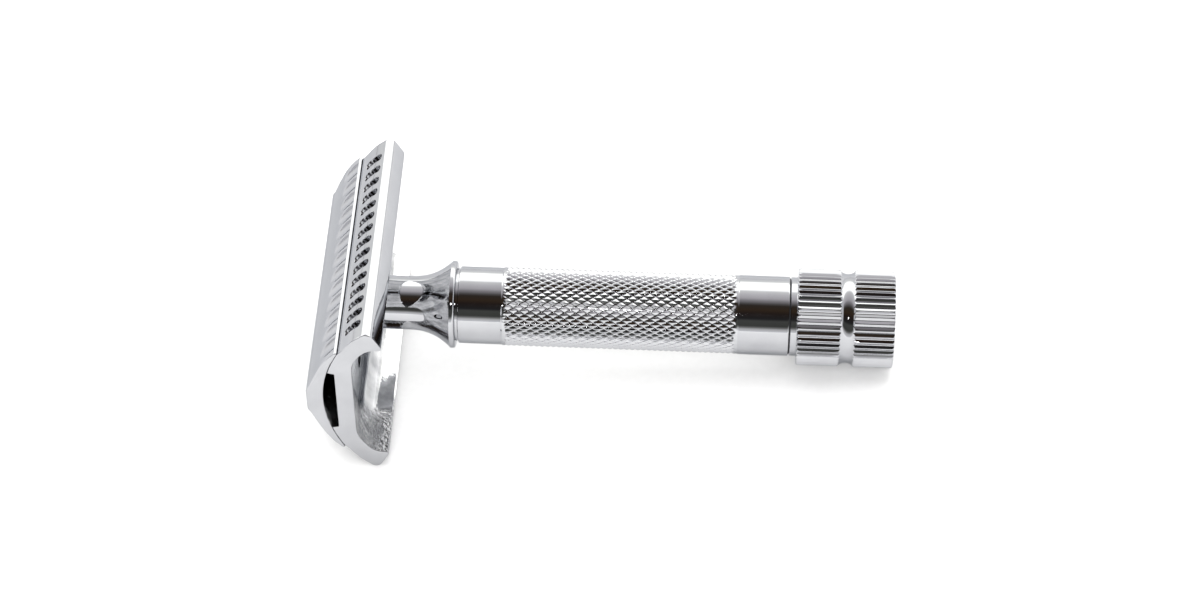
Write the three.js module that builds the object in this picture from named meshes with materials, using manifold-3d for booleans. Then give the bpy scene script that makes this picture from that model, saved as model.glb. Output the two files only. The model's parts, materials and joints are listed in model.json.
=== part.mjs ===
// Double-edge safety razor, with no blade fitted: a screw-down cap over a curved base plate, on a
// knurled handle whose bottom knob turns a hollow-headed spindle that pulls the cap down.
//
// Units are millimetres. The razor is drawn in its own frame first: z runs along the handle from the
// bottom of the knob (0) to the top of the cap, x is the width of the head from one guard bar to the
// other, and y is the length of the head. At the end it is laid on the table, resting on one guard
// bar and on the rim of the knob, with the handle along +X and the table at z = 0.

import * as THREE from 'three';
import { mergeVertices } from 'three/addons/utils/BufferGeometryUtils.js';
import Module from 'manifold-3d';

const wasm = await Module();
wasm.setup();

// ---------------------------------------------------------------- driving dimensions

const TOTAL_LENGTH = 84;
const ROUND_STEPS = 40;
const SMALL_ROUND_STEPS = 24;
const KNOB_STEPS = 92;
const FIT_GAP = 0.1;
const CLOSE_GAP = 0.05;

const KNOB = {
  radius: 7.05, grooveRadius: 6.5, collarRadius: 5.75, fluteCount: 46, fluteDepth: 0.38, valleyShare: 0.36,
  lowerTop: 5.7, upperBottom: 8.0, upperTop: 14.1, top: 15.1, chamfer: 0.3,
  endRecessRadius: 5.0, endRecessDepth: 0.8, screwRecessTop: 2.2, webTop: 3.1,
};
const WASHER = { bottom: 15.13, top: 15.25, outer: 5.55, inner: 2.3 };
const HANDLE = {
  bottom: 15.28, top: 63.4, rearBandTop: 22.7, frontBandBottom: 57.0,
  rearBandRadius: 5.8, gripRadius: 5.75, frontBandRadius: 5.65, edge: 0.2,
  boreRadius: 3.6, socketBoreRadius: 4.6, socketBoreBottom: 56.5,
};
const BUSH = { bottom: 17, top: 22, outer: 3.5 };
const WAVE_WASHER = { bottom: 22.1, top: 22.75, outer: 3.3, thickness: 0.25 };
const RING = { bottom: 22.9, top: 23.5, outer: 3.2, grooveRadius: 1.6, opening: 1.9 };
const ROD = { bottom: 3.2, top: 69.1, radius: 2.0, screwHoleRadius: 1.1, screwHoleDepth: 5.4 };
const SCREW = { radius: 1.0, headRadius: 2.4, headBottom: 1.0, top: 8.0, slotWidth: 0.5, slotDepth: 0.5 };
const SOCKET = { bottom: 66, top: 78, radius: 3.2, rodHoleTop: 69.2, threadFloor: 71.5, threadRadius: 2.55 };
const NECK = {
  bottom: 57.2, spigotRadius: 4.5, shoulder: 63.45, grooveTop: 63.85, grooveRadius: 5.3,
  rimTop: 64.6, rimRadius: 6.4, rimRound: 0.4, flareTop: 71.0, flarePower: 2.5,
  radius: 3.93, top: 77.1,
  rivetRadius: 3.6, rivetTop: 79.5, boreRadius: 3.3, studBoreRadius: 2.65,
};
const ARCH = { radius: 22.45, crown: 81.55 };
const BASE = {
  halfLength: 19.1, cornerRadius: 0.7, flatHalfWidth: 5.9, flatHeight: 79.7, seatHalfWidth: 10.2,
  ceiling: 77.2, postHoleRadius: 1.65, slotCount: 15, slotPitch: 2.3, slotWidth: 1.35,
  slotLength: 3.65, slotDepth: 0.9, slotCentre: [12.73, 76.95], slotAngle: 41,
};
const CAP = {
  halfLength: 19.15, cornerRadius: 0.5, edgeHalfWidth: 10.2,
  scallopCount: 13, scallopPitch: 2.83, scallopRadius: 2.9,
  scallopStart: [7.0, 81.83], scallopEnd: [10.0, 79.5],
};
const STUD = { radius: 2.5, rootRadius: 2.1, top: 82.8, threadTop: 78.6, bottom: 73.4, pitch: 0.8 };
const POST = { radius: 1.5, offset: 10.6, top: 82.6, bottom: 78.0 };
const GUARD_TIP = { radius: 1.0, centre: [13.6, 74.75] };

// ---------------------------------------------------------------- materials

function metal(color, roughness) {
  return new THREE.MeshStandardMaterial({ color, roughness, metalness: 1.0 });
}

const chrome = () => metal(0xd8dadc, 0.08);
const brass = () => metal(0xc9a45a, 0.35);
const springSteel = () => metal(0x8f949a, 0.35);
const nylon = () => new THREE.MeshStandardMaterial({ color: 0x2c2c2e, roughness: 0.6, metalness: 0.0 });

// ---------------------------------------------------------------- solids

// Turns a closed geometry into a manifold solid, dropping the triangles that merging collapses.
function solid(geometry) {
  const bare = geometry.clone();
  bare.deleteAttribute('normal');
  bare.deleteAttribute('uv');
  const merged = mergeVertices(bare, 1e-4);
  const corners = merged.index.array;
  const kept = [];
  for (let i = 0; i < corners.length; i += 3) {
    const [a, b, c] = [corners[i], corners[i + 1], corners[i + 2]];
    if (a !== b && b !== c && c !== a) {
      kept.push(a, b, c);
    }
  }
  const vertProperties = new Float32Array(merged.attributes.position.array);
  return new wasm.Manifold(new wasm.Mesh({ numProp: 3, vertProperties, triVerts: new Uint32Array(kept) }));
}

function geometryOf(manifold) {
  const mesh = manifold.getMesh();
  const geometry = new THREE.BufferGeometry();
  geometry.setAttribute('position', new THREE.BufferAttribute(mesh.vertProperties, 3));
  geometry.setIndex(new THREE.BufferAttribute(mesh.triVerts, 1));
  geometry.computeVertexNormals();
  return geometry;
}

function vectors(points) {
  return points.map(([x, y]) => new THREE.Vector2(x, y));
}

// A body of revolution about the handle axis; the profile is a list of [radius, z].
function turned(profile, steps = ROUND_STEPS) {
  const geometry = new THREE.LatheGeometry(vectors(profile), steps);
  geometry.rotateX(Math.PI / 2);
  return solid(geometry);
}

function cylinder(radius, bottom, top, x = 0, y = 0, steps = SMALL_ROUND_STEPS) {
  const geometry = new THREE.CylinderGeometry(radius, radius, top - bottom, steps);
  geometry.rotateX(Math.PI / 2);
  geometry.translate(x, y, (bottom + top) / 2);
  return solid(geometry);
}

function ring(outer, inner, bottom, top, steps = ROUND_STEPS) {
  return turned([[inner, bottom], [outer, bottom], [outer, top], [inner, top], [inner, bottom]], steps);
}

// A bar of constant section along y; the section is a THREE.Shape of x and z.
function barAlongY(section, halfLength) {
  const geometry = new THREE.ExtrudeGeometry(section, { depth: 2 * halfLength, bevelEnabled: false });
  geometry.rotateX(Math.PI / 2);
  geometry.translate(0, halfLength, 0);
  return solid(geometry);
}

// A prism standing on the plan shape (x and y), from bottom to top.
function prism(plan, bottom, top, curveSegments = 8) {
  const settings = { depth: top - bottom, bevelEnabled: false, curveSegments };
  const geometry = new THREE.ExtrudeGeometry(plan, settings);
  geometry.translate(0, 0, bottom);
  return solid(geometry);
}

function roundedRectangle(halfWidth, halfLength, radius) {
  const shape = new THREE.Shape();
  shape.moveTo(halfWidth - radius, -halfLength);
  shape.absarc(halfWidth - radius, radius - halfLength, radius, -Math.PI / 2, 0, false);
  shape.absarc(halfWidth - radius, halfLength - radius, radius, 0, Math.PI / 2, false);
  shape.absarc(radius - halfWidth, halfLength - radius, radius, Math.PI / 2, Math.PI, false);
  shape.absarc(radius - halfWidth, radius - halfLength, radius, Math.PI, 1.5 * Math.PI, false);
  return shape;
}

function box(width, length, height, matrix) {
  const geometry = new THREE.BoxGeometry(width, length, height);
  geometry.applyMatrix4(matrix);
  return solid(geometry);
}

// The points of an arc in the x-z plane, by angle in radians from +x.
function arcPoints([x, z], radius, from, to, steps) {
  const points = [];
  for (let i = 0; i <= steps; i += 1) {
    const angle = from + ((to - from) * i) / steps;
    points.push([x + radius * Math.cos(angle), z + radius * Math.sin(angle)]);
  }
  return points;
}

// A symmetrical section from its right half, which runs from the top centre to the bottom centre.
function mirroredSection(rightHalf) {
  const left = rightHalf.filter(([x]) => x > 1e-6).reverse().map(([x, z]) => [-x, z]);
  return new THREE.Shape(vectors([...rightHalf, ...left].reverse()));
}

// ---------------------------------------------------------------- the arch that cap and base share

const ARCH_CENTRE = [0, ARCH.crown - ARCH.radius];

function archHeight(x, inset = 0) {
  return ARCH_CENTRE[1] + Math.sqrt((ARCH.radius - inset) ** 2 - x * x);
}

function archPoints(inset, fromX, toX, steps) {
  const points = [];
  for (let i = 0; i <= steps; i += 1) {
    const x = fromX + ((toX - fromX) * i) / steps;
    points.push([x, archHeight(x, inset)]);
  }
  return points;
}

// ---------------------------------------------------------------- head

function capPlate() {
  const { halfLength, cornerRadius, edgeHalfWidth } = CAP;
  const rightHalf = [
    [0, TOTAL_LENGTH], [1.9, TOTAL_LENGTH], [2.3, TOTAL_LENGTH - 0.14], [2.75, TOTAL_LENGTH - 0.4],
    [5.2, 82.62], [7.4, 81.63], [9.0, 80.62], [10.05, 79.76], [10.36, 79.48], [10.46, 79.25], [10.36, 79.08],
    ...archPoints(0, edgeHalfWidth, 0, 12),
  ];
  const plan = roundedRectangle(11, halfLength, cornerRadius);
  let plate = barAlongY(mirroredSection(rightHalf), halfLength).intersect(prism(plan, 78, 85));
  for (const side of [-1, 1]) {
    for (let i = 0; i < CAP.scallopCount; i += 1) {
      const y = (i - (CAP.scallopCount - 1) / 2) * CAP.scallopPitch;
      plate = plate.subtract(solid(scallopCutter(side, y)));
    }
  }
  plate = plate.subtract(cylinder(STUD.radius + CLOSE_GAP, 78, STUD.top + CLOSE_GAP));
  for (const side of [-1, 1]) {
    const hole = cylinder(POST.radius + CLOSE_GAP, 78, POST.top + CLOSE_GAP, 0, side * POST.offset);
    plate = plate.subtract(hole);
  }
  return geometryOf(plate);
}

// A cylinder that runs down the flank; its lowest line goes from the start of a scallop, on the
// surface, to its end, below the lip.
function scallopCutter(side, y) {
  const [startX, startZ] = CAP.scallopStart;
  const [endX, endZ] = CAP.scallopEnd;
  const slope = Math.atan2(startZ - endZ, endX - startX);
  const cutter = new THREE.CylinderGeometry(CAP.scallopRadius, CAP.scallopRadius, 8, 28);
  cutter.rotateZ(Math.PI / 2);
  cutter.translate(0, 0, CAP.scallopRadius);
  cutter.rotateY(slope);
  cutter.translate(endX, 0, endZ);
  cutter.rotateZ(side > 0 ? 0 : Math.PI);
  cutter.translate(0, y, 0);
  return cutter;
}

function capStud() {
  const profile = [
    [0, STUD.bottom], [STUD.rootRadius - 0.2, STUD.bottom], [STUD.rootRadius, STUD.bottom + 0.2],
  ];
  for (let z = STUD.bottom + 0.2; z < STUD.threadTop; z += STUD.pitch) {
    profile.push([STUD.radius, z + 0.5 * STUD.pitch]);
    profile.push([STUD.rootRadius, z + STUD.pitch]);
  }
  profile.push([STUD.rootRadius, STUD.threadTop + 0.6], [STUD.radius, STUD.threadTop + 1.0]);
  profile.push([STUD.radius, STUD.top], [0, STUD.top]);
  return geometryOf(turned(profile, SMALL_ROUND_STEPS));
}

function capPost(side) {
  const { radius, bottom, top, offset } = POST;
  const profile = [[0, bottom], [radius - 0.4, bottom], [radius, bottom + 0.5], [radius, top], [0, top]];
  return geometryOf(turned(profile, SMALL_ROUND_STEPS).translate([0, side * offset, 0]));
}

function basePlate() {
  const tip = arcPoints(GUARD_TIP.centre, GUARD_TIP.radius, 0.61, -1.1, 7);
  const rightHalf = [
    [0, BASE.flatHeight], [BASE.flatHalfWidth, BASE.flatHeight],
    ...archPoints(CLOSE_GAP, BASE.flatHalfWidth + 0.15, BASE.seatHalfWidth, 6),
    [11.0, 78.35], [12.3, 77.45], [13.3, 76.6], [14.15, 75.6], ...tip,
    [12.1, 72.85], [11.5, 72.7], [11.3, 72.95], [11.2, 74.1], [10.8, 75.0], [10.0, 75.85],
    [8.6, 76.75], [7.3, 77.1], [6.0, BASE.ceiling], [0, BASE.ceiling],
  ];
  const plan = roundedRectangle(GUARD_TIP.centre[0] + GUARD_TIP.radius, BASE.halfLength, BASE.cornerRadius);
  let plate = barAlongY(mirroredSection(rightHalf), BASE.halfLength).intersect(prism(plan, 70, 85));

  const [slotX, slotZ] = BASE.slotCentre;
  for (const side of [-1, 1]) {
    for (let i = 0; i < BASE.slotCount; i += 1) {
      const y = (i - (BASE.slotCount - 1) / 2) * BASE.slotPitch;
      const matrix = new THREE.Matrix4().makeRotationY(THREE.MathUtils.degToRad(side * BASE.slotAngle));
      matrix.setPosition(side * slotX, y, slotZ);
      plate = plate.subtract(box(BASE.slotLength, BASE.slotWidth, 2 * BASE.slotDepth, matrix));
    }
  }
  plate = plate.subtract(cylinder(NECK.rivetRadius + FIT_GAP, 70, 85, 0, 0, ROUND_STEPS));
  for (const side of [-1, 1]) {
    plate = plate.subtract(cylinder(BASE.postHoleRadius, 70, 85, 0, side * POST.offset));
  }
  return geometryOf(plate);
}

// ---------------------------------------------------------------- neck and handle

function neck() {
  const profile = [
    [NECK.boreRadius, NECK.bottom], [NECK.spigotRadius, NECK.bottom], [NECK.spigotRadius, NECK.shoulder],
    [NECK.grooveRadius, NECK.shoulder], [NECK.grooveRadius, NECK.grooveTop],
    [NECK.rimRadius - NECK.rimRound, NECK.grooveTop],
    [NECK.rimRadius - 0.1, NECK.grooveTop + 0.15], [NECK.rimRadius, NECK.grooveTop + NECK.rimRound],
  ];
  const flareSteps = 8;
  const flareHeight = NECK.flareTop - NECK.rimTop;
  for (let i = 0; i <= flareSteps; i += 1) {
    const rest = 1 - i / flareSteps;
    const radius = NECK.radius + (NECK.rimRadius - NECK.radius) * rest ** NECK.flarePower;
    profile.push([radius, NECK.flareTop - flareHeight * rest]);
  }
  profile.push(
    [NECK.radius, NECK.top], [NECK.rivetRadius, NECK.top], [NECK.rivetRadius, NECK.rivetTop],
    [NECK.studBoreRadius, NECK.rivetTop], [NECK.studBoreRadius, SOCKET.top + 0.2],
    [NECK.boreRadius, SOCKET.top + 0.2], [NECK.boreRadius, NECK.bottom],
  );
  return geometryOf(turned(profile));
}

function handleTube() {
  const h = HANDLE;
  return geometryOf(turned([
    [h.boreRadius, h.bottom], [h.rearBandRadius - 0.1, h.bottom], [h.rearBandRadius, h.bottom + 0.1],
    [h.rearBandRadius, h.rearBandTop - h.edge], [h.gripRadius, h.rearBandTop],
    [h.gripRadius, h.frontBandBottom], [h.frontBandRadius, h.frontBandBottom + h.edge],
    [h.frontBandRadius, h.top - 0.15], [h.frontBandRadius - 0.15, h.top],
    [h.socketBoreRadius, h.top], [h.socketBoreRadius, h.socketBoreBottom],
    [h.boreRadius, h.socketBoreBottom], [h.boreRadius, h.bottom],
  ]));
}

function rearBush() {
  return geometryOf(ring(BUSH.outer, ROD.radius + FIT_GAP, BUSH.bottom, BUSH.top, SMALL_ROUND_STEPS));
}

function thrustWasher() {
  return geometryOf(ring(WASHER.outer, WASHER.inner, WASHER.bottom, WASHER.top));
}

// Three gentle waves round a flat ring.
function waveWasher() {
  const { outer, thickness, bottom, top } = WAVE_WASHER;
  const inner = ROD.radius + 0.15;
  const shape = new THREE.Shape();
  shape.absarc(0, 0, outer, 0, 2 * Math.PI, false);
  const hole = new THREE.Path();
  hole.absarc(0, 0, inner, 0, 2 * Math.PI, true);
  shape.holes.push(hole);
  const settings = { depth: thickness, bevelEnabled: false, curveSegments: 24 };
  const geometry = new THREE.ExtrudeGeometry(shape, settings);
  const position = geometry.attributes.position;
  const height = (top - bottom - thickness) / 2;
  for (let i = 0; i < position.count; i += 1) {
    const angle = Math.atan2(position.getY(i), position.getX(i));
    position.setZ(i, position.getZ(i) + bottom + height * (1 + Math.cos(3 * angle)));
  }
  return geometryOf(solid(geometry));
}

// An open ring snapped into a groove of the rod.
function retainingRing() {
  const { outer, grooveRadius, bottom, top, opening } = RING;
  const whole = ring(outer, grooveRadius + CLOSE_GAP, bottom, top, SMALL_ROUND_STEPS);
  const gap = new THREE.Matrix4().makeTranslation(outer, 0, (bottom + top) / 2);
  return geometryOf(whole.subtract(box(2 * outer, opening, 2, gap)));
}

// ---------------------------------------------------------------- spindle and knob

function spindleRod() {
  const { bottom, top, radius, screwHoleRadius, screwHoleDepth } = ROD;
  const groove = [RING.bottom - CLOSE_GAP, RING.top + CLOSE_GAP];
  return geometryOf(turned([
    [0, bottom + screwHoleDepth], [screwHoleRadius, bottom + screwHoleDepth], [screwHoleRadius, bottom],
    [radius, bottom], [radius, groove[0]], [RING.grooveRadius, groove[0]], [RING.grooveRadius, groove[1]],
    [radius, groove[1]], [radius, top - 0.3], [radius - 0.3, top], [0, top],
  ], SMALL_ROUND_STEPS));
}

function spindleSocket() {
  const { bottom, top, radius, rodHoleTop, threadFloor, threadRadius } = SOCKET;
  return geometryOf(turned([
    [0, rodHoleTop], [ROD.radius + CLOSE_GAP, rodHoleTop], [ROD.radius + CLOSE_GAP, bottom],
    [radius - 0.3, bottom], [radius, bottom + 0.3], [radius, top - 0.2], [radius - 0.2, top],
    [threadRadius + 0.2, top], [threadRadius, top - 0.2], [threadRadius, threadFloor], [0, threadFloor],
  ], SMALL_ROUND_STEPS));
}

// The outline of the knob's flutes: wide lands with a narrow valley between each two.
function flutedOutline() {
  const halfValley = KNOB.valleyShare / 2;
  const valleyRadius = KNOB.radius - KNOB.fluteDepth;
  const stations = [
    [-halfValley, KNOB.radius], [0, valleyRadius], [halfValley, KNOB.radius], [0.5, KNOB.radius],
  ];
  const points = [];
  for (let i = 0; i < KNOB.fluteCount; i += 1) {
    for (const [turn, radius] of stations) {
      const angle = (2 * Math.PI * (i + turn)) / KNOB.fluteCount;
      points.push([radius * Math.cos(angle), radius * Math.sin(angle)]);
    }
  }
  return new THREE.Shape(vectors(points));
}

function knob() {
  const k = KNOB;
  const grooveMiddle = (k.lowerTop + k.upperBottom) / 2;
  const envelope = turned([
    [0, 0], [k.radius - k.chamfer, 0], [k.radius + 0.01, k.chamfer],
    [k.radius + 0.01, k.lowerTop - 0.1], [k.grooveRadius + 0.15, k.lowerTop + 0.35],
    [k.grooveRadius, grooveMiddle], [k.grooveRadius + 0.15, k.upperBottom - 0.35],
    [k.radius + 0.01, k.upperBottom + 0.1], [k.radius + 0.01, k.upperTop - 0.25],
    [k.radius - 0.25, k.upperTop], [0, k.upperTop],
  ], KNOB_STEPS);
  let body = prism(flutedOutline(), 0, k.upperTop).intersect(envelope);
  body = body.add(turned([
    [0, k.upperTop - 1], [k.collarRadius, k.upperTop - 1], [k.collarRadius, k.top - 0.08],
    [k.collarRadius - 0.08, k.top], [0, k.top],
  ]));
  body = body.subtract(cylinder(ROD.radius + CLOSE_GAP, k.webTop, k.top + 1, 0, 0, SMALL_ROUND_STEPS));
  body = body.subtract(cylinder(SCREW.radius + CLOSE_GAP, -1, k.webTop + 1));
  body = body.subtract(cylinder(SCREW.headRadius + 0.2, -1, k.screwRecessTop));
  body = body.subtract(cylinder(k.endRecessRadius, -1, k.endRecessDepth, 0, 0, ROUND_STEPS));
  return geometryOf(body);
}

function knobScrew() {
  const { radius, headRadius, headBottom, top, slotWidth, slotDepth } = SCREW;
  const headTop = KNOB.screwRecessTop - CLOSE_GAP;
  const body = turned([
    [0, headBottom], [headRadius - 0.2, headBottom], [headRadius, headBottom + 0.2],
    [headRadius, headTop], [radius, headTop], [radius, top - 0.3], [radius - 0.3, top], [0, top],
  ], SMALL_ROUND_STEPS);
  const slot = new THREE.Matrix4().makeTranslation(0, 0, headBottom);
  return geometryOf(body.subtract(box(6, slotWidth, 2 * slotDepth, slot)));
}

function knobEndCap() {
  const radius = KNOB.endRecessRadius - FIT_GAP;
  const inside = KNOB.endRecessDepth - FIT_GAP;
  return geometryOf(turned([[0, 0], [radius - 0.1, 0], [radius, 0.1], [radius, inside], [0, inside]]));
}

// ---------------------------------------------------------------- assembly

const razor = new THREE.Group();

function add(name, geometry, material) {
  const mesh = new THREE.Mesh(geometry, material);
  mesh.name = name;
  razor.add(mesh);
}

add('cap_plate', capPlate(), chrome());
add('cap_stud', capStud(), brass());
add('cap_post_near', capPost(-1), chrome());
add('cap_post_far', capPost(1), chrome());
add('base_plate', basePlate(), chrome());
add('neck', neck(), chrome());
add('handle_tube', handleTube(), chrome());
add('rear_bush', rearBush(), brass());
add('wave_washer', waveWasher(), springSteel());
add('retaining_ring', retainingRing(), springSteel());
add('spindle_rod', spindleRod(), springSteel());
add('spindle_socket', spindleSocket(), brass());
add('thrust_washer', thrustWasher(), nylon());
add('knob', knob(), chrome());
add('knob_screw', knobScrew(), springSteel());
add('knob_end_cap', knobEndCap(), chrome());

// The handle slopes down from the guard bar that the head lies on to the rim of the knob: one line
// touches the round of the guard bar and the edge of the knob's lower chamfer.
function restingSlope() {
  const across = GUARD_TIP.centre[0] - KNOB.radius;
  const along = GUARD_TIP.centre[1] - KNOB.chamfer;
  return Math.atan2(across, along) + Math.asin(GUARD_TIP.radius / Math.hypot(across, along));
}

razor.rotation.y = restingSlope() - Math.PI / 2;

const part = new THREE.Group();
part.add(razor);
part.updateMatrixWorld(true);
const extent = new THREE.Box3().setFromObject(part, true);
razor.position.set(
  -(extent.min.x + extent.max.x) / 2,
  -(extent.min.y + extent.max.y) / 2,
  -extent.min.z,
);

export default part;
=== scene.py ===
# Double-edge safety razor lying on a white table, seen from above and in front of its handle.
#
# Shapes are made in the razor's own frame, in millimetres: z runs along the handle from the bottom of
# the knob (0) to the top of the cap, x is the width of the head and y its length. PLACE carries that
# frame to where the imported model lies.

import json
import math

import bpy
from mathutils import Matrix, Vector
from mathutils.geometry import tessellate_polygon


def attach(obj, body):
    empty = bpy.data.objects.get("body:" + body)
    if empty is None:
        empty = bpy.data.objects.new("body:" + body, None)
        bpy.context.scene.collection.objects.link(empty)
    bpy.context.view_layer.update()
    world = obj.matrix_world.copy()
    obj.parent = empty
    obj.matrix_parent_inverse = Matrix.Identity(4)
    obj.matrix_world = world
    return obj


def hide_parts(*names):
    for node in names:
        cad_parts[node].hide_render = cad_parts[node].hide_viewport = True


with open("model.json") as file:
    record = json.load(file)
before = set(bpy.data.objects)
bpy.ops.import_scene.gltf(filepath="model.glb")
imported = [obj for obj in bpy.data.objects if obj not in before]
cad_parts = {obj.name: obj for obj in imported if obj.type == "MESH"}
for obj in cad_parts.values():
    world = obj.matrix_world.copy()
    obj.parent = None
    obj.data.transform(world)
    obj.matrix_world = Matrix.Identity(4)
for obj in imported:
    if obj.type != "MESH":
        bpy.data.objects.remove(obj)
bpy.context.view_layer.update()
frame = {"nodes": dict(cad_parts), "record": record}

MM = 0.001

# ---------------------------------------------------------------- driving dimensions, in millimetres

TOTAL_LENGTH = 84.0

KNOB_RADIUS = 7.05
KNOB_GROOVE_RADIUS = 6.5
KNOB_COLLAR_RADIUS = 5.75
KNOB_CHAMFER = 0.3
KNOB_LOWER_TOP = 5.7
KNOB_UPPER_BOTTOM = 8.0
KNOB_UPPER_TOP = 14.1
KNOB_TOP = 15.1
KNOB_RECESS_RADIUS = 5.0
KNOB_RECESS_DEPTH = 0.8
FLUTE_COUNT = 46
FLUTE_DEPTH = 0.23
FLUTE_FLAT = 0.1
FLUTE_SAMPLES = 20
SCREW_CLEARANCE_RADIUS = 1.05
SCREW_HEAD_RADIUS = 2.6
SCREW_HEAD_SEAT = 2.2
ROD_SEAT_RADIUS = 2.05
ROD_SEAT = 3.1

HANDLE_BOTTOM = 15.28
HANDLE_TOP = 63.4
REAR_BAND_TOP = 22.7
FRONT_BAND_BOTTOM = 57.0
REAR_BAND_RADIUS = 5.8
GRIP_RADIUS = 5.75
FRONT_BAND_RADIUS = 5.65
HANDLE_BORE_RADIUS = 3.6
SOCKET_BORE_RADIUS = 4.6
SOCKET_BORE_BOTTOM = 56.5
KNURL_STARTS = 38
KNURL_PERIOD = 1.65
KNURL_DEPTH = 0.24
KNURL_SECOND_SHARE = 0.86
KNURL_FLAT = 0.08
KNURL_SAMPLES = 10
KNURL_RUNOUT = 0.35
KNURL_MARGIN = 0.25
KNURL_LEAST_RADIUS = 5.2

NECK_BOTTOM = 57.2
NECK_SPIGOT_RADIUS = 4.5
NECK_SHOULDER = 63.45
NECK_GROOVE_TOP = 63.85
NECK_GROOVE_RADIUS = 5.3
NECK_RIM_TOP = 64.6
NECK_RIM_RADIUS = 6.4
NECK_RIM_ROUNDING = 0.37
NECK_FLARE_TOP = 71.0
NECK_FLARE_POWER = 2.5
NECK_RADIUS = 3.93
NECK_TOP = 77.1
NECK_RIVET_RADIUS = 3.6
NECK_RIVET_TOP = 79.5
NECK_BORE_RADIUS = 3.3
NECK_BORE_TOP = 78.2
STUD_BORE_RADIUS = 2.65

ARCH_RADIUS = 22.45
ARCH_CROWN = 81.55
CAP_HALF_LENGTH = 19.15
CAP_EDGE_HALF_WIDTH = 10.2
CAP_FLANK = [
    (2.75, TOTAL_LENGTH - 0.4), (5.2, 82.62), (7.4, 81.63), (9.0, 80.62), (10.05, 79.76),
    (10.36, 79.48), (10.46, 79.25),
]
CAP_END_ROUNDING = 0.18
CAP_LIP_END_ROUNDING = 0.06
CAP_LIP_START = 8.5
CAP_CAST_HALF_WIDTH = 9.9
SCALLOP_COUNT = 13
SCALLOP_PITCH = 2.83
SCALLOP_RADIUS = 2.9
SCALLOP_START = (7.0, 81.83)
SCALLOP_END = (10.0, 79.5)
SCALLOP_CREASE = 0.04
SCALLOP_REACH = (6.0, 10.3)

BASE_HALF_LENGTH = 19.1
BASE_END_ROUNDING = 0.12
BASE_CAST_HALF_WIDTH = 11.6
BASE_CEILING = 77.2
BASE_FLAT_HALF_WIDTH = 5.9
BASE_FLAT_HEIGHT = 79.7
SLOT_COUNT = 15
SLOT_PITCH = 2.3
SLOT_WIDTH = 1.35
SLOT_DEPTH = 0.9
SLOT_WALL = 0.16
SLOT_TOP = (11.35, 78.15)
SLOT_FOOT = (14.1, 75.75)
SLOT_FROM_X = 11.0
SLOT_FROM_Z = 75.3
SLOT_FLANK_REACH = 0.6
GUARD_RADIUS = 1.0
GUARD_CENTRE = (13.6, 74.75)
GUARD_TIP_START = 35
GUARD_TIP_END = -63
POST_OFFSET = 10.6
POST_HOLE_RADIUS = 1.65
CLOSE_GAP = 0.05

# ---------------------------------------------------------------- where the razor lies

mount = frame["record"]["mounts"][0]
HANDLE_UP = -Vector(mount["axis"])
LENGTHWISE = Vector((0, 1, 0))
WIDTHWISE = LENGTHWISE.cross(HANDLE_UP)
PLACE = Matrix.Identity(4)
for column, direction in enumerate((WIDTHWISE, LENGTHWISE, HANDLE_UP)):
    for row in range(3):
        PLACE[row][column] = direction[row] * MM
for row in range(3):
    PLACE[row][3] = mount["pos_m"][row]

# ---------------------------------------------------------------- materials


class Nodes:
    """Short names for making a node tree."""

    def __init__(self, tree):
        self.tree = tree
        tree.nodes.clear()

    def add(self, kind, **values):
        node = self.tree.nodes.new(kind)
        for name, value in values.items():
            setattr(node, name, value)
        return node

    def link(self, start, end):
        self.tree.links.new(start, end)

    def ramp(self, source, stops):
        ramp = self.add("ShaderNodeValToRGB")
        elements = ramp.color_ramp.elements
        while len(elements) < len(stops):
            elements.new(0.5)
        for element, (position, color) in zip(elements, stops):
            element.position = position
            element.color = (*color, 1)
        self.link(source, ramp.inputs["Fac"])
        return ramp.outputs["Color"]

    def noise(self, coordinates, scale, detail=3.0, stretch=(1, 1, 1)):
        mapping = self.add("ShaderNodeMapping")
        mapping.inputs["Scale"].default_value = stretch
        noise = self.add("ShaderNodeTexNoise")
        noise.inputs["Scale"].default_value = scale
        noise.inputs["Detail"].default_value = detail
        self.link(coordinates, mapping.inputs["Vector"])
        self.link(mapping.outputs["Vector"], noise.inputs["Vector"])
        return noise.outputs["Fac"]

    def ranged(self, source, low, high):
        node = self.add("ShaderNodeMapRange")
        node.inputs["To Min"].default_value = low
        node.inputs["To Max"].default_value = high
        self.link(source, node.inputs["Value"])
        return node.outputs["Result"]


def new_material(name):
    """A material with its nodes, its shader and the place on the object, in metres."""
    material = bpy.data.materials.new(name)
    material.use_nodes = True
    nodes = Nodes(material.node_tree)
    output = nodes.add("ShaderNodeOutputMaterial")
    shader = nodes.add("ShaderNodeBsdfPrincipled")
    nodes.link(shader.outputs["BSDF"], output.inputs["Surface"])
    place = nodes.add("ShaderNodeTexCoord").outputs["Object"]
    return material, nodes, shader, place


CLOUD_SIZE = 0.004
EDGE_TINT = (0.55, 0.56, 0.58, 1)


def metal(name, dark, light, roughness, waviness, grain_size, stretch=(1, 1, 1)):
    """A metal whose tone drifts between dark and light over CLOUD_SIZE, with roughness varying in its
    (low, high) range and a fine surface relief of height waviness and width grain_size, in metres."""
    material, nodes, shader, place = new_material(name)
    shader.inputs["Metallic"].default_value = 1.0
    shader.inputs["Specular Tint"].default_value = EDGE_TINT
    clouds = nodes.noise(place, 1 / CLOUD_SIZE, 4.0)
    grain = nodes.noise(place, 1 / grain_size, 2.0, stretch)
    nodes.link(nodes.ramp(clouds, [(0.3, dark), (0.7, light)]), shader.inputs["Base Color"])
    nodes.link(nodes.ranged(grain, *roughness), shader.inputs["Roughness"])
    bump = nodes.add("ShaderNodeBump")
    bump.inputs["Strength"].default_value = 1.0
    bump.inputs["Distance"].default_value = waviness
    nodes.link(grain, bump.inputs["Height"])
    nodes.link(bump.outputs["Normal"], shader.inputs["Normal"])
    return material


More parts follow.
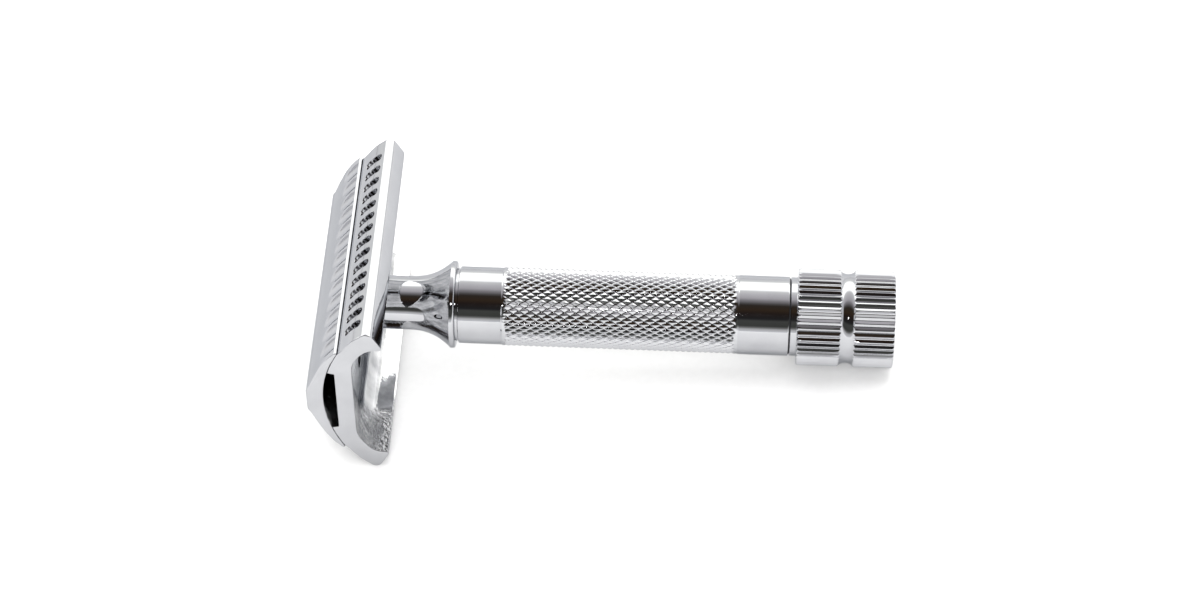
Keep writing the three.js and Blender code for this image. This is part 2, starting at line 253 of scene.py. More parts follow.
CHROME_DARK = (0.43, 0.435, 0.452)
CHROME_LIGHT = (0.47, 0.475, 0.492)
KNURL_DARK = (0.49, 0.495, 0.512)
KNURL_LIGHT = (0.53, 0.535, 0.55)
BRASS_DARK = (0.62, 0.44, 0.18)
BRASS_LIGHT = (0.74, 0.56, 0.27)
STEEL_DARK = (0.38, 0.39, 0.41)
STEEL_LIGHT = (0.5, 0.51, 0.53)
TURNING_MARKS = (6, 1, 1)

head_chrome = metal("head_chrome", CHROME_DARK, CHROME_LIGHT, (0.03, 0.07), 1.5e-6, 0.0018)
handle_chrome = metal("handle_chrome", CHROME_DARK, CHROME_LIGHT, (0.02, 0.05), 6e-7, 0.0016)
knurl_chrome = metal("knurl_chrome", KNURL_DARK, KNURL_LIGHT, (0.05, 0.1), 2e-6, 0.0003)
turned_brass = metal("turned_brass", BRASS_DARK, BRASS_LIGHT, (0.2, 0.34), 4e-6, 0.0002, TURNING_MARKS)
spring_steel = metal("spring_steel", STEEL_DARK, STEEL_LIGHT, (0.22, 0.36), 3e-6, 0.0002, TURNING_MARKS)

# The casting is smooth past one slanted line over its length and height, and grainy at another. The
# lines are places on y, in metres, and the slant is what a metre of height adds to them.
CAST_DARK = (0.42, 0.425, 0.44)
CAST_LIGHT = (0.78, 0.785, 0.79)
CAST_SLANT = 0.55
CAST_SMOOTH_PAST = -0.0085
CAST_GRAINY_AT = -0.0125
CAST_LEAST_GRAIN = 0.02
CAST_CLOUD_SCALE = 400
CAST_GRAIN_SCALE = 2200
CAST_RELIEF = 9e-4


def as_cast_chrome():
    """Plating over an unpolished casting: softly waved, and grainy where the metal reached last."""
    material, nodes, shader, place = new_material("cast_chrome")
    shader.inputs["Metallic"].default_value = 1.0
    shader.inputs["Specular Tint"].default_value = EDGE_TINT
    clouds = nodes.noise(place, CAST_CLOUD_SCALE)
    grain = nodes.noise(place, CAST_GRAIN_SCALE)
    nodes.link(nodes.ramp(clouds, [(0.3, CAST_DARK), (0.7, CAST_LIGHT)]), shader.inputs["Base Color"])
    nodes.link(nodes.ranged(clouds, 0.04, 0.09), shader.inputs["Roughness"])
    parts = nodes.add("ShaderNodeSeparateXYZ")
    nodes.link(place, parts.inputs["Vector"])
    graininess = nodes.add("ShaderNodeMapRange", interpolation_type="SMOOTHSTEP")
    graininess.inputs["From Min"].default_value = CAST_SMOOTH_PAST
    graininess.inputs["From Max"].default_value = CAST_GRAINY_AT
    graininess.inputs["To Min"].default_value = CAST_LEAST_GRAIN
    graininess.inputs["To Max"].default_value = 1.0
    slant = nodes.add("ShaderNodeMath", operation="MULTIPLY_ADD")
    slant.inputs[1].default_value = CAST_SLANT
    nodes.link(parts.outputs["Z"], slant.inputs[0])
    nodes.link(parts.outputs["Y"], slant.inputs[2])
    nodes.link(slant.outputs[0], graininess.inputs["Value"])
    bump = nodes.add("ShaderNodeBump")
    bump.inputs["Distance"].default_value = CAST_RELIEF
    nodes.link(graininess.outputs["Result"], bump.inputs["Strength"])
    nodes.link(grain, bump.inputs["Height"])
    nodes.link(bump.outputs["Normal"], shader.inputs["Normal"])
    return material


cast_chrome = as_cast_chrome()


NYLON_DARK = (0.008, 0.008, 0.009)
NYLON_LIGHT = (0.02, 0.02, 0.022)
NYLON_GRAIN_SCALE = 4000


def moulded_nylon():
    material, nodes, shader, place = new_material("black_nylon")
    grain = nodes.noise(place, NYLON_GRAIN_SCALE)
    nodes.link(nodes.ramp(grain, [(0.3, NYLON_DARK), (0.7, NYLON_LIGHT)]), shader.inputs["Base Color"])
    nodes.link(nodes.ranged(grain, 0.5, 0.7), shader.inputs["Roughness"])
    return material


# ---------------------------------------------------------------- mesh making


def piece(name, points, faces, materials, body, node, sharp_degrees, pick=None):
    """A mesh piece from points in the razor's own frame. pick(centre) gives a face's material number.
    Faces square to y, which are the ends of the head's pieces, stay flat."""
    mesh = bpy.data.meshes.new(name)
    mesh.from_pydata([PLACE @ Vector(point) for point in points], [], faces)
    for material in materials:
        mesh.materials.append(material)
    if pick:
        back = PLACE.inverted()
        for polygon in mesh.polygons:
            polygon.material_index = pick(back @ polygon.center)
    mesh.validate()
    mesh.shade_smooth()
    for polygon in mesh.polygons:
        if abs(polygon.normal.y) > 0.9999:
            polygon.use_smooth = False
    mesh.set_sharp_from_angle(angle=math.radians(sharp_degrees))
    made = bpy.data.objects.new(name, mesh)
    bpy.context.scene.collection.objects.link(made)
    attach(made, body)
    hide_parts(node)
    return made


def grid_faces(rows, columns, closed_rows=False):
    """Quads over rows of points that each close on themselves."""
    faces = []
    for i in range(rows if closed_rows else rows - 1):
        for j in range(columns):
            a = i * columns + j
            b = i * columns + (j + 1) % columns
            c = ((i + 1) % rows) * columns + (j + 1) % columns
            d = ((i + 1) % rows) * columns + j
            faces.append((a, b, c, d))
    return faces


def steps(start, end, count):
    return [start + (end - start) * i / count for i in range(count + 1)]


def arc(centre, radius, start, end, count):
    """Points of an arc, by angle in degrees."""
    cx, cz = centre
    angles = [math.radians(a) for a in steps(start, end, count)]
    return [(cx + radius * math.cos(a), cz + radius * math.sin(a)) for a in angles]


def turned(profile, columns, radius_at=None):
    """A ring-shaped solid: the profile, a loop of (radius, z), turned about the handle's axis.
    radius_at(radius, z, angle) can move a point in or out. The loop runs up the outside and down the
    inside. A straight part has a second point close to each rounded edge, which keeps its shading
    flat."""
    points = []
    for radius, z in profile:
        for j in range(columns):
            angle = 2 * math.pi * j / columns
            r = radius_at(radius, z, angle) if radius_at else radius
            points.append((r * math.cos(angle), r * math.sin(angle), z))
    return points, grid_faces(len(profile), columns, closed_rows=True)


def disc(profile, columns):
    """A solid that meets the axis at both ends of its profile."""
    rims = profile[1:-1]
    points = []
    for radius, z in rims:
        for j in range(columns):
            angle = 2 * math.pi * j / columns
            points.append((radius * math.cos(angle), radius * math.sin(angle), z))
    faces = grid_faces(len(rims), columns)
    first, last = len(points), len(points) + 1
    points += [(0, 0, profile[0][1]), (0, 0, profile[-1][1])]
    top = (len(rims) - 1) * columns
    for j in range(columns):
        k = (j + 1) % columns
        faces.append((first, k, j))
        faces.append((last, top + j, top + k))
    return points, faces


def swept(section_at, stations):
    """A bar along y: section_at(y) gives its loop of (x, z), always with as many points."""
    points = []
    count = 0
    for y in stations:
        loop = section_at(y)
        count = len(loop)
        points += [(x, y, z) for x, z in loop]
    faces = grid_faces(len(stations), count)
    last = (len(stations) - 1) * count
    faces += end_triangles(points[:count], 0, -1)
    faces += end_triangles(points[last:], last, 1)
    return points, faces


def end_triangles(loop, first, facing):
    """Triangles that close a flat end of a bar, facing -y or +y; first is the loop's first point."""
    triangles = []
    for a, b, c in tessellate_polygon([[Vector((x, z, 0)) for x, _, z in loop]]):
        (ax, _, az), (bx, _, bz), (cx, _, cz) = loop[a], loop[b], loop[c]
        turn = (bx - ax) * (cz - az) - (bz - az) * (cx - ax)
        if turn * facing > 0:
            b, c = c, b
        triangles.append((first + a, first + b, first + c))
    return triangles


def outline(corners, spacing):
    """The corner points with more between them, no further apart than spacing."""
    points = []
    for (x0, z0), (x1, z1) in zip(corners, corners[1:]):
        count = max(1, math.ceil(math.hypot(x1 - x0, z1 - z0) / spacing))
        points += [(x0 + (x1 - x0) * i / count, z0 + (z1 - z0) * i / count) for i in range(count)]
    return points + [corners[-1]]


def smooth_curve(corners, count):
    """A Catmull-Rom curve through the corners, with count steps between each two."""
    padded = [corners[0], *corners, corners[-1]]
    points = []
    for a, b, c, d in zip(padded, padded[1:], padded[2:], padded[3:]):
        for i in range(count):
            t = i / count
            points.append(tuple(
                0.5 * (2 * b[k] + (c[k] - a[k]) * t + (2 * a[k] - 5 * b[k] + 4 * c[k] - d[k]) * t ** 2
                       + (3 * b[k] - a[k] - 3 * c[k] + d[k]) * t ** 3)
                for k in range(2)))
    return points + [corners[-1]]


def mirrored(right_half):
    """A whole section from its right half, which runs from the top centre to the bottom centre."""
    left = [(-x, z) for x, z in reversed(right_half) if x > 1e-6]
    return right_half + left


def inward_normals(loop):
    normals = []
    for i in range(len(loop)):
        x0, z0 = loop[i - 1]
        x1, z1 = loop[(i + 1) % len(loop)]
        length = math.hypot(x1 - x0, z1 - z0) or 1.0
        normals.append(((z1 - z0) / length, -(x1 - x0) / length))
    return normals


def end_rounding(y, half_length, radius):
    """How far the section draws in at y, for a rounded edge at each end."""
    beyond = abs(y) - (half_length - radius)
    if beyond <= 0:
        return 0.0
    return radius - math.sqrt(max(radius ** 2 - beyond ** 2, 0.0))


def end_stations(half_length, radius):
    return [half_length - radius + radius * math.sin(math.radians(a)) for a in (0, 20, 40, 60, 75, 90)]


DRILL_SPAN = (60.0, 90.0)
DRILL_SIDES = 64


def cut_holes(target, holes, sharp_degrees):
    """Cuts round holes of (radius, x, y) along z through a piece."""
    for number, (radius, x, y) in enumerate(holes):
        points = []
        for z in DRILL_SPAN:
            for j in range(DRILL_SIDES):
                angle = 2 * math.pi * j / DRILL_SIDES
                points.append((x + radius * math.cos(angle), y + radius * math.sin(angle), z))
        faces = grid_faces(2, DRILL_SIDES)
        faces.append(tuple(range(DRILL_SIDES - 1, -1, -1)))
        faces.append(tuple(range(DRILL_SIDES, 2 * DRILL_SIDES)))
        mesh = bpy.data.meshes.new(f"drill_{number}")
        mesh.from_pydata([PLACE @ Vector(p) for p in points], [], faces)
        drill = bpy.data.objects.new(f"drill_{number}", mesh)
        bpy.context.scene.collection.objects.link(drill)
        modifier = target.modifiers.new("hole", "BOOLEAN")
        modifier.operation = "DIFFERENCE"
        modifier.solver = "EXACT"
        modifier.object = drill
        bpy.context.view_layer.update()
        graph = bpy.context.evaluated_depsgraph_get()
        result = bpy.data.meshes.new_from_object(target.evaluated_get(graph))
        target.modifiers.clear()
        target.data = result
        bpy.data.objects.remove(drill)
    target.data.set_sharp_from_angle(angle=math.radians(sharp_degrees))


# ---------------------------------------------------------------- head


def arch_height(x, inset=0.0):
    return ARCH_CROWN - ARCH_RADIUS + math.sqrt((ARCH_RADIUS - inset) ** 2 - x * x)


def smooth_least(a, b, width):
    """The smaller of a and b, with the crease between them rounded over width."""
    blend = max(width - abs(a - b), 0.0) / width
    return min(a, b) - blend * blend * width * 0.25


def scallop_floor(x, y):
    """Height of the scallop cutters' lowest surface over a point of the flank."""
    (x0, z0), (x1, z1) = SCALLOP_START, SCALLOP_END
    slope = (z0 - z1) / (x1 - x0)
    nearest = round(y / SCALLOP_PITCH)
    limit = (SCALLOP_COUNT - 1) // 2
    nearest = max(-limit, min(limit, nearest))
    off = abs(y - nearest * SCALLOP_PITCH)
    if off >= SCALLOP_RADIUS:
        return math.inf
    lift = SCALLOP_RADIUS - math.sqrt(SCALLOP_RADIUS ** 2 - off ** 2)
    return z1 + (x1 - x) * slope + lift * math.hypot(1, slope)


def cap_half_section():
    crown = outline([(0, TOTAL_LENGTH), (1.9, TOTAL_LENGTH)], 0.3)
    edge = [(2.15, TOTAL_LENGTH - 0.05), (2.45, TOTAL_LENGTH - 0.22)]
    flank = smooth_curve(CAP_FLANK, 12)
    lip = [(10.42, 79.13), (10.34, 79.07)]
    under = [(x, arch_height(x)) for x in steps(CAP_EDGE_HALF_WIDTH, 0, 30)]
    return crown + edge + flank + lip + under


def cap():
    section = mirrored(cap_half_section())
    inward = inward_normals(section)

    def section_at(y):
        drawn = end_rounding(y, CAP_HALF_LENGTH, CAP_END_ROUNDING)
        loop = []
        for (x, z), (nx, nz) in zip(section, inward):
            height = z
            upper = z > arch_height(min(abs(x), CAP_EDGE_HALF_WIDTH)) + 1e-3
            if upper and SCALLOP_REACH[0] < abs(x) < SCALLOP_REACH[1]:
                height = smooth_least(z, scallop_floor(abs(x), y), SCALLOP_CREASE)
            depth = drawn if abs(x) < CAP_LIP_START else drawn * CAP_LIP_END_ROUNDING / CAP_END_ROUNDING
            loop.append((x + nx * depth, height + nz * depth))
        return loop

    ends = end_stations(CAP_HALF_LENGTH, CAP_END_ROUNDING)
    reach = CAP_HALF_LENGTH - CAP_END_ROUNDING - 0.1
    middle = steps(-reach, reach, 300)
    stations = [-y for y in reversed(ends)] + middle + ends
    points, faces = swept(section_at, stations)

    def pick(centre):
        under = centre.z < arch_height(min(abs(centre.x), CAP_EDGE_HALF_WIDTH)) + 0.02
        return 1 if under and abs(centre.x) < CAP_CAST_HALF_WIDTH else 0

    piece("cap_shell", points, faces, [head_chrome, cast_chrome], "cap", "cap_plate",
          28, pick)



def base_half_section():
    top = outline([(0, BASE_FLAT_HEIGHT), (BASE_FLAT_HALF_WIDTH - 0.1, BASE_FLAT_HEIGHT)], 0.5)
    seat_start = BASE_FLAT_HALF_WIDTH + 0.15
    seat = [(x, arch_height(x, CLOSE_GAP)) for x in steps(seat_start, CAP_EDGE_HALF_WIDTH, 16)]
    fine = smooth_curve([seat[-1], (11.0, 78.35), (12.3, 77.45), (13.3, 76.6), (14.15, 75.6)], 36)[1:]
    # All points are kept where the slots' rounded ends are, and every fifth elsewhere.
    flank = [(x, z) for i, (x, z) in enumerate(fine) if i % 5 == 0 or 11.25 < x < 11.95 or x > 13.5]
    tip = arc(GUARD_CENTRE, GUARD_RADIUS, GUARD_TIP_START, GUARD_TIP_END, 14)
    lower = [(12.1, 72.85), (11.7, 72.72), (11.45, 72.74), (11.3, 72.95)]
    cavity = smooth_curve([
        (11.2, 74.1), (10.8, 75.0), (10.0, 75.85), (8.6, 76.75), (7.3, 77.1), (6.0, BASE_CEILING),
    ], 6)
    ceiling = outline([(6.0, BASE_CEILING), (0, BASE_CEILING)], 0.5)[1:]
    return top + seat + flank + tip + lower + cavity + ceiling


def slot_depth(x, z, y):
    """Depth of the guard's slots, which have rounded ends and steep walls."""
    (x0, z0), (x1, z1) = SLOT_TOP, SLOT_FOOT
    length = math.hypot(x1 - x0, z1 - z0)
    along = ((x - x0) * (x1 - x0) + (z - z0) * (z1 - z0)) / length
    away = abs((x - x0) * (z1 - z0) - (z - z0) * (x1 - x0)) / length
    if away > SLOT_FLANK_REACH:
        return 0.0
    limit = (SLOT_COUNT - 1) // 2
    nearest = max(-limit, min(limit, round(y / SLOT_PITCH)))
    across = abs(y - nearest * SLOT_PITCH)
    half = SLOT_WIDTH / 2
    beyond = max(abs(along - length / 2) - (length / 2 - half), 0.0)
    distance = half - math.hypot(beyond, across)
    share = max(0.0, min(1.0, distance / SLOT_WALL))
    return SLOT_DEPTH * share * share * (3 - 2 * share)


def base():
    section = mirrored(base_half_section())
    inward = inward_normals(section)

    def section_at(y):
        drawn = end_rounding(y, BASE_HALF_LENGTH, BASE_END_ROUNDING)
        loop = []
        for (x, z), (nx, nz) in zip(section, inward):
            depth = drawn
            if abs(x) > SLOT_FROM_X and z > SLOT_FROM_Z:
                depth += slot_depth(abs(x), z, y)
            loop.append((x + nx * depth, z + nz * depth))
        return loop

    ends = end_stations(BASE_HALF_LENGTH, BASE_END_ROUNDING)
    # Distances from the middle of a slot, close together on its walls.
    beside = [0.2, 0.36, 0.45, 0.52, 0.57, 0.62, 0.67, 0.75, 1.02]
    slot_stations = [-off for off in reversed(beside)] + [0.0] + beside
    middle = []
    limit = (SLOT_COUNT - 1) // 2
    for k in range(-limit, limit + 1):
        middle += [k * SLOT_PITCH + off for off in slot_stations]
    reach = middle[-1]
    beyond = steps(reach + 0.4, ends[0] - 0.3, 3)
    stations = [-y for y in reversed(ends)] + [-y for y in reversed(beyond)] + middle + beyond + ends
    points, faces = swept(section_at, stations)

    def pick(centre):
        inside = centre.z < BASE_CEILING + 0.05 and abs(centre.x) < BASE_CAST_HALF_WIDTH
        return 1 if inside and abs(centre.y) < BASE_HALF_LENGTH - 0.15 else 0

    sharp_degrees = 30
    made = piece("base_shell", points, faces, [head_chrome, cast_chrome], "handle", "base_plate",
                 sharp_degrees, pick)
    holes = [(NECK_RIVET_RADIUS + 0.1, 0, 0)]
    holes += [(POST_HOLE_RADIUS, 0, POST_OFFSET), (POST_HOLE_RADIUS, 0, -POST_OFFSET)]
    cut_holes(made, holes, sharp_degrees)


# ---------------------------------------------------------------- neck and handle


def neck():
    flare_height = NECK_FLARE_TOP - NECK_RIM_TOP
    flare = []
    for height in steps(0, 1, 32):
        rest = 1 - height
        swell = (NECK_RIM_RADIUS - NECK_RADIUS) * rest ** NECK_FLARE_POWER
        flare.append((NECK_RADIUS + swell, NECK_FLARE_TOP - flare_height * rest))
    rim_centre = (NECK_RIM_RADIUS - NECK_RIM_ROUNDING, NECK_GROOVE_TOP + NECK_RIM_ROUNDING)
    rim = arc(rim_centre, NECK_RIM_ROUNDING, -90, 0, 8)
    profile = [
        (NECK_BORE_RADIUS, NECK_BOTTOM), (NECK_SPIGOT_RADIUS, NECK_BOTTOM),
        (NECK_SPIGOT_RADIUS, NECK_SHOULDER), (NECK_GROOVE_RADIUS, NECK_SHOULDER),
        (NECK_GROOVE_RADIUS, NECK_GROOVE_TOP), *rim, *flare, (NECK_RADIUS, NECK_TOP),
        (NECK_RIVET_RADIUS, NECK_TOP), (NECK_RIVET_RADIUS, NECK_RIVET_TOP),
        (STUD_BORE_RADIUS, NECK_RIVET_TOP), (STUD_BORE_RADIUS, NECK_BORE_TOP),
        (NECK_BORE_RADIUS, NECK_BORE_TOP),
    ]
    points, faces = turned(profile, 160)
    piece("neck_flare", points, faces, [handle_chrome], "handle", "neck", 40)


def knurl_radius(radius, z, angle):
    """Flat-topped diamonds between two families of grooves that cross the handle."""
    start = REAR_BAND_TOP + KNURL_MARGIN
    end = FRONT_BAND_BOTTOM - KNURL_MARGIN
    if radius < GRIP_RADIUS - 0.3 or z < start or z > end:
        return radius
    turns = KNURL_STARTS * angle / (2 * math.pi)
    along = z / KNURL_PERIOD
    dip = 0.0
    for phase, share in ((turns + along, KNURL_SECOND_SHARE), (turns - along, 1.0)):
        height = 1 - 2 * abs(phase - math.floor(phase) - 0.5)
        dip = max(dip, share * (1 - min(1.0, height / (1 - KNURL_FLAT))))
    fade = min(1.0, (z - start) / KNURL_RUNOUT, (end - z) / KNURL_RUNOUT)
    return radius - KNURL_DEPTH * dip * max(fade, 0.0)


def handle():
    grip_start, grip_end = REAR_BAND_TOP + 0.1, FRONT_BAND_BOTTOM - 0.1
    rows = round((grip_end - grip_start) / KNURL_PERIOD * KNURL_SAMPLES)
    grip = steps(grip_start, grip_end, rows)
    profile = [
        (HANDLE_BORE_RADIUS, HANDLE_BOTTOM), (REAR_BAND_RADIUS - 0.1, HANDLE_BOTTOM),
        (REAR_BAND_RADIUS - 0.03, HANDLE_BOTTOM + 0.03), (REAR_BAND_RADIUS, HANDLE_BOTTOM + 0.1),
        (REAR_BAND_RADIUS, HANDLE_BOTTOM + 0.25), (REAR_BAND_RADIUS, REAR_BAND_TOP - 0.3),
        (REAR_BAND_RADIUS, REAR_BAND_TOP - 0.15), (REAR_BAND_RADIUS - 0.06, REAR_BAND_TOP - 0.02),
        *[(GRIP_RADIUS, z) for z in grip],
        (FRONT_BAND_RADIUS, FRONT_BAND_BOTTOM + 0.1), (FRONT_BAND_RADIUS, FRONT_BAND_BOTTOM + 0.25),
        (FRONT_BAND_RADIUS, HANDLE_TOP - 0.3), (FRONT_BAND_RADIUS, HANDLE_TOP - 0.15),
        (FRONT_BAND_RADIUS - 0.04, HANDLE_TOP - 0.04), (FRONT_BAND_RADIUS - 0.15, HANDLE_TOP),
        (SOCKET_BORE_RADIUS, HANDLE_TOP), (SOCKET_BORE_RADIUS, SOCKET_BORE_BOTTOM),
        (HANDLE_BORE_RADIUS, SOCKET_BORE_BOTTOM),
    ]
    points, faces = turned(profile, KNURL_STARTS * KNURL_SAMPLES, knurl_radius)

    def pick(centre):
        outside = math.hypot(centre.x, centre.y) > KNURL_LEAST_RADIUS
        return 1 if outside and REAR_BAND_TOP < centre.z < FRONT_BAND_BOTTOM else 0

    piece("handle_grip", points, faces, [handle_chrome, knurl_chrome], "handle", "handle_tube",
          24, pick)


# ---------------------------------------------------------------- knob


def flute_radius(radius, z, angle):
    """Straight-sided ridges with narrow crests and valleys, on the knob's two sections."""
    if radius < KNOB_GROOVE_RADIUS - 0.05 or z > KNOB_UPPER_TOP + 0.01:
        return radius
    turn = FLUTE_COUNT * angle / (2 * math.pi)
    height = abs(2 * (turn - math.floor(turn)) - 1)
    share = (height - FLUTE_FLAT) / (1 - 2 * FLUTE_FLAT)
    return min(radius, KNOB_RADIUS - FLUTE_DEPTH * (1 - max(0.0, min(1.0, share))))


def knob():
    radius, groove = KNOB_RADIUS, KNOB_GROOVE_RADIUS
    middle = (KNOB_LOWER_TOP + KNOB_UPPER_BOTTOM) / 2
    half = (KNOB_UPPER_BOTTOM - KNOB_LOWER_TOP) / 2
    sag = radius - groove
    curve = (half ** 2 + sag ** 2) / (2 * sag)
    spread = math.degrees(math.asin(half / curve))
    hollow = []
    for degrees in steps(-spread, spread, 28):
        a = math.radians(degrees)
        hollow.append((groove + curve - curve * math.cos(a), middle + curve * math.sin(a)))
    foot = arc((radius - KNOB_CHAMFER, KNOB_CHAMFER), KNOB_CHAMFER, -75, 0, 6)
    profile = [
        (KNOB_RECESS_RADIUS, 0.05), (KNOB_RECESS_RADIUS + 0.05, 0),
        (radius - KNOB_CHAMFER, 0), *foot,
        (radius, 1.0), (radius, 3.0), (radius, 5.0), *hollow,
        (radius, 9.0), (radius, 11.0), (radius, 13.5), (radius, KNOB_UPPER_TOP - 0.25),
        (radius - 0.07, KNOB_UPPER_TOP - 0.1), (radius - 0.25, KNOB_UPPER_TOP),
        (KNOB_COLLAR_RADIUS + 0.1, KNOB_UPPER_TOP), (KNOB_COLLAR_RADIUS, KNOB_UPPER_TOP + 0.1),
        (KNOB_COLLAR_RADIUS, KNOB_UPPER_TOP + 0.25), (KNOB_COLLAR_RADIUS, KNOB_TOP - 0.2),
        (KNOB_COLLAR_RADIUS, KNOB_TOP - 0.08), (KNOB_COLLAR_RADIUS - 0.08, KNOB_TOP),
        (ROD_SEAT_RADIUS, KNOB_TOP), (ROD_SEAT_RADIUS, ROD_SEAT),
        (SCREW_CLEARANCE_RADIUS, ROD_SEAT), (SCREW_CLEARANCE_RADIUS, SCREW_HEAD_SEAT),
        (SCREW_HEAD_RADIUS, SCREW_HEAD_SEAT), (SCREW_HEAD_RADIUS, KNOB_RECESS_DEPTH),
        (KNOB_RECESS_RADIUS, KNOB_RECESS_DEPTH),
    ]
    points, faces = turned(profile, FLUTE_COUNT * FLUTE_SAMPLES, flute_radius)
    piece("knob_body", points, faces, [handle_chrome], "knob", "knob", 30)


def end_cap():
    radius = KNOB_RECESS_RADIUS - 0.1
    inside = KNOB_RECESS_DEPTH - 0.1
    profile = [
        (0, 0), (1.5, 0), (3.0, 0), (radius - 0.1, 0), (radius - 0.03, 0.03), (radius, 0.1),
        (radius, inside), (0, inside),
    ]
    points, faces = disc(profile, 96)
    piece("knob_end_disc", points, faces, [handle_chrome], "knob", "knob_end_cap", 40)


# ---------------------------------------------------------------- make the razor

cap()
base()
neck()
handle()
knob()
end_cap()

# CAD pieces that are shown as they are, with a look of their own.
carried = {
    "cap_stud": turned_brass, "rear_bush": turned_brass, "spindle_socket": turned_brass,
    "cap_post_near": head_chrome, "cap_post_far": head_chrome,
    "wave_washer": spring_steel, "retaining_ring": spring_steel, "spindle_rod": spring_steel,
    "knob_screw": spring_steel, "thrust_washer": moulded_nylon(),
}
for node, material in carried.items():
    for each in frame["nodes"][node].material_slots:
        each.material = material

# ---------------------------------------------------------------- table, surroundings and light


TABLE_HALF_SIZE = 3.0
PAPER_DARK = (0.76, 0.76, 0.76)
PAPER_LIGHT = (0.78, 0.78, 0.78)
PAPER_FIBRE_SCALE = 900


def table():
    half = TABLE_HALF_SIZE
    corners = [(-half, -half, 0), (half, -half, 0), (half, half, 0), (-half, half, 0)]
    mesh = bpy.data.meshes.new("table")
    mesh.from_pydata(corners, [], [(0, 1, 2, 3)])
    material, nodes, shader, place = new_material("white_paper")
    fibres = nodes.noise(place, PAPER_FIBRE_SCALE)
    nodes.link(nodes.ramp(fibres, [(0.3, PAPER_DARK), (0.7, PAPER_LIGHT)]), shader.inputs["Base Color"])
    shader.inputs["Roughness"].default_value = 0.9
    shader.inputs["Specular IOR Level"].default_value = 0.1
    mesh.materials.append(material)
    made = bpy.data.objects.new("table", mesh)
    bpy.context.scene.collection.objects.link(made)


# Angles round the handle's direction, in degrees: 0 is the horizon in front, 90 is overhead and 180
# is the horizon behind. The room that the camera stands in is dark, and the rest is white cloth.
ROOM_BANDS = [
    (0, (1.2, 1.2, 1.22)), (8, (0.75, 0.75, 0.75)), (12, (0.30, 0.30, 0.29)),
    (17, (0.085, 0.088, 0.08)), (32, (0.10, 0.102, 0.095)), (38, (0.03, 0.03, 0.031)),
    (53, (0.030, 0.021, 0.018)), (64, (0.058, 0.038, 0.024)), (77, (0.052, 0.042, 0.034)),
    (83, (0.15, 0.14, 0.14)), (92, (0.42, 0.40, 0.42)), (99, (0.74, 0.71, 0.74)),
    (112, (0.96, 0.94, 0.96)), (122, (1.2, 1.2, 1.18)), (130, (2.7, 2.7, 2.65)),
    (157, (2.7, 2.7, 2.6)), (164, (1.4, 1.4, 1.36)), (178, (1.3, 1.3, 1.3)),
]
CLOTH = (0.9, 0.9, 0.93)
ROOM_HALF_WIDTH = 0.88
ROOM_EDGE = 0.04


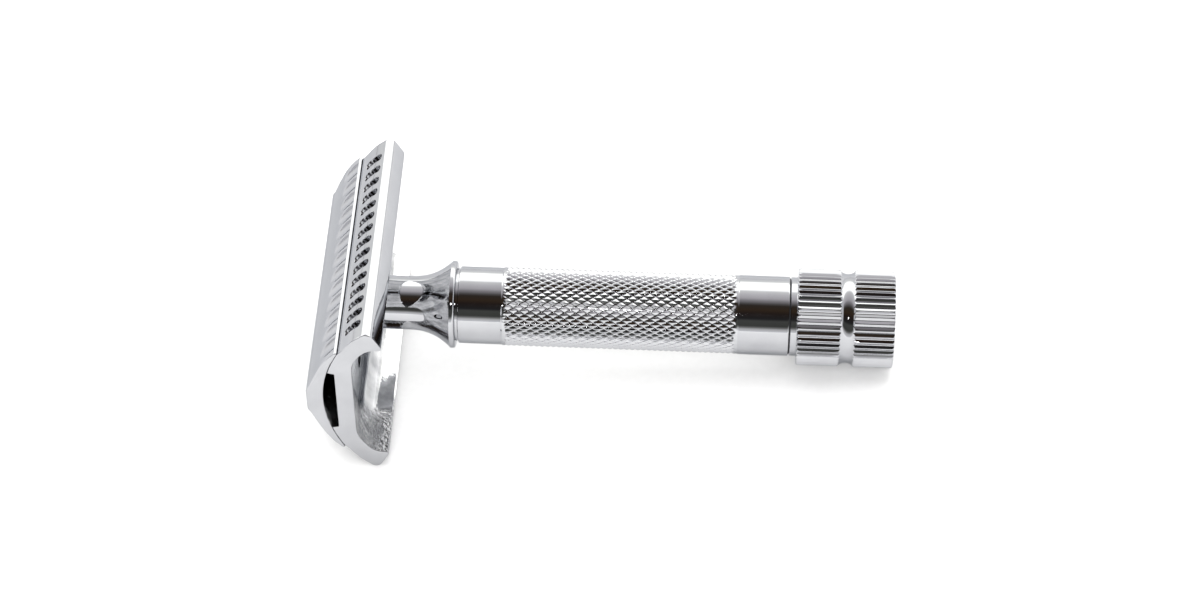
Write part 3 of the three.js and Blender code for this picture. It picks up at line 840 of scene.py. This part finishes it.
def surroundings():
    world = bpy.data.worlds.new("studio")
    world.use_nodes = True
    bpy.context.scene.world = world
    nodes = Nodes(world.node_tree)
    output = nodes.add("ShaderNodeOutputWorld")
    background = nodes.add("ShaderNodeBackground")
    direction = nodes.add("ShaderNodeTexCoord").outputs["Generated"]
    parts = nodes.add("ShaderNodeSeparateXYZ")
    nodes.link(direction, parts.inputs["Vector"])

    front = nodes.add("ShaderNodeMath", operation="MULTIPLY")
    front.inputs[1].default_value = -1.0
    nodes.link(parts.outputs["Y"], front.inputs[0])
    turn = nodes.add("ShaderNodeMath", operation="ARCTAN2")
    nodes.link(parts.outputs["Z"], turn.inputs[0])
    nodes.link(front.outputs[0], turn.inputs[1])
    share = nodes.add("ShaderNodeMath", operation="DIVIDE")
    share.inputs[1].default_value = math.pi
    nodes.link(turn.outputs[0], share.inputs[0])
    bands = nodes.ramp(share.outputs[0], [(angle / 180, color) for angle, color in ROOM_BANDS])

    sideways = nodes.add("ShaderNodeMath", operation="ABSOLUTE")
    nodes.link(parts.outputs["X"], sideways.inputs[0])
    aside = nodes.add("ShaderNodeMapRange", interpolation_type="SMOOTHSTEP")
    aside.inputs["From Min"].default_value = ROOM_HALF_WIDTH - ROOM_EDGE
    aside.inputs["From Max"].default_value = ROOM_HALF_WIDTH + ROOM_EDGE
    nodes.link(sideways.outputs[0], aside.inputs["Value"])
    mix = nodes.add("ShaderNodeMix", data_type="RGBA")
    nodes.link(aside.outputs["Result"], mix.inputs["Factor"])
    nodes.link(bands, mix.inputs["A"])
    mix.inputs["B"].default_value = (*CLOTH, 1)
    nodes.link(mix.outputs["Result"], background.inputs["Color"])
    nodes.link(background.outputs["Background"], output.inputs["Surface"])


def area_light(name, place, size, power, seen_in_metal):
    """A round lamp that faces the razor, with its size in metres and its power in watts."""
    data = bpy.data.lights.new(name, "AREA")
    data.shape = "DISK"
    data.size = size
    data.energy = power
    made = bpy.data.objects.new(name, data)
    made.location = place
    facing = Vector((0, 0, 0)) - Vector(place)
    made.rotation_euler = facing.to_track_quat("-Z", "Y").to_euler()
    made.visible_glossy = seen_in_metal
    bpy.context.scene.collection.objects.link(made)


table()
surroundings()
area_light("overhead", (0, 0, 1.6), 1.2, 18, seen_in_metal=False)
area_light("fill", (0.45, -1.2, 0.8), 1.8, 36, seen_in_metal=False)
area_light("catch_light", (0.03, -0.33, 0.40), 0.045, 0.07, seen_in_metal=True)

# ---------------------------------------------------------------- camera

CAMERA_AZIMUTH = math.radians(9.73)
CAMERA_ELEVATION = math.radians(48.22)
CAMERA_ROLL = math.radians(-9.06)
CAMERA_DISTANCE = 0.5134
CAMERA_AIM = (-0.0023, 0.0088)
FOCAL_LENGTH = 103.5


def camera():
    forward = Vector((
        -math.sin(CAMERA_AZIMUTH) * math.cos(CAMERA_ELEVATION),
        math.cos(CAMERA_AZIMUTH) * math.cos(CAMERA_ELEVATION),
        -math.sin(CAMERA_ELEVATION),
    ))
    level = forward.cross(Vector((0, 0, 1))).normalized()
    upright = level.cross(forward)
    right = math.cos(CAMERA_ROLL) * level + math.sin(CAMERA_ROLL) * upright
    up = right.cross(forward)
    target = CAMERA_AIM[0] * right + CAMERA_AIM[1] * up
    place = target - CAMERA_DISTANCE * forward
    data = bpy.data.cameras.new("camera")
    data.lens = FOCAL_LENGTH
    data.sensor_width = 36.0
    made = bpy.data.objects.new("camera", data)
    matrix = Matrix((right, up, -forward)).transposed().to_4x4()
    matrix.translation = place
    made.matrix_world = matrix
    bpy.context.scene.collection.objects.link(made)
    bpy.context.scene.camera = made


camera()
bpy.context.scene.view_settings.view_transform = "Standard"
